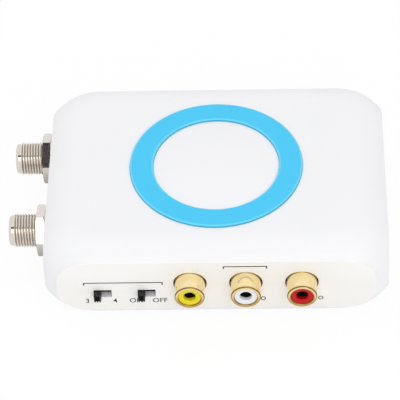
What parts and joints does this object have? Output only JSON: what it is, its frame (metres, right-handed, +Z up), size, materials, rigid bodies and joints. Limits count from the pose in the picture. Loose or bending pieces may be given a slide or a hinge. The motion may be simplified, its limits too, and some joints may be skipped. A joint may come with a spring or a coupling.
{
  "type": "rf modulator",
  "caption": "Table-top converter box, pillow-shaped with a ring on its lid, threaded aerial sockets at the side, phono jacks and slide switches in front.",
  "frame": {"origin": "middle of the case in plan, on the plane that the rubber feet stand on", "axes": "+X to the right seen from the jacks, +Y to the rear, +Z up; the jacks face -Y and the threaded sockets -X"},
  "size_m": [0.1061, 0.0743, 0.0272],
  "materials": {
    "cover_white": "satin moulded plastic",
    "ring_cyan": "satin moulded plastic",
    "screw_steel": "zinc plated",
    "foot_rubber": "matt",
    "board_green": "solder resist",
    "chip_black": "moulded, matt",
    "tin_plate": "tinned sheet",
    "capacitor_sleeve": "shrink sleeve",
    "passive_tan": "ceramic",
    "nickel_plate": "nickel plated, satin",
    "insulator_white": "moulded",
    "contact_gilt": "gold flashed",
    "shell_gilt": "gold plated, bright",
    "insert_yellow": "moulded",
    "insert_white": "moulded",
    "insert_red": "moulded",
    "phenolic_brown": "laminate",
    "knob_black": "moulded, matt"
  },
  "bodies": {
    "housing": {"top_cover": "cover_white", "bottom_cover": "cover_white", "accent_ring": "ring_cyan", "case_screws": "screw_steel", "rubber_feet": "foot_rubber", "circuit_board": "board_green", "board_screws": "screw_steel", "converter_chip": "chip_black", "modulator_chip": "chip_black", "regulator_chip": "chip_black", "crystal": "tin_plate", "filter_capacitors": "capacitor_sleeve", "choke_coils": "chip_black", "chip_passives": "passive_tan", "rf_can_frame": "tin_plate", "rf_can_lid": "tin_plate", "socket_barrels": "nickel_plate", "socket_nuts": "nickel_plate", "socket_washers": "nickel_plate", "socket_insulators": "insulator_white", "socket_contacts": "contact_gilt", "video_jack_shell": "shell_gilt", "left_jack_shell": "shell_gilt", "right_jack_shell": "shell_gilt", "video_jack_insert": "insert_yellow", "left_jack_insert": "insert_white", "right_jack_insert": "insert_red", "jack_housings": "chip_black", "jack_contacts": "contact_gilt", "jack_ground_tails": "tin_plate", "channel_switch_frame": "tin_plate", "channel_switch_base": "phenolic_brown", "channel_switch_terminals": "tin_plate", "power_switch_frame": "tin_plate", "power_switch_base": "phenolic_brown", "power_switch_terminals": "tin_plate", "input_shell": "nickel_plate", "input_tongue": "chip_black", "input_contacts": "contact_gilt", "power_jack_housing": "chip_black", "power_jack_pin": "nickel_plate", "power_jack_spring": "tin_plate"},
    "channel_knob": {"channel_switch_knob": "knob_black", "channel_switch_clip": "contact_gilt"},
    "power_knob": {"power_switch_knob": "knob_black", "power_switch_clip": "contact_gilt"}
  },
  "joints": [
    {"name": "channel_slide", "type": "slide", "parent": "housing", "child": "channel_knob", "axis": [1, 0, 0], "range_m": [0, 0.0028]},
    {"name": "power_slide", "type": "slide", "parent": "housing", "child": "power_knob", "axis": [1, 0, 0], "range_m": [0, 0.0028]}
  ]
}
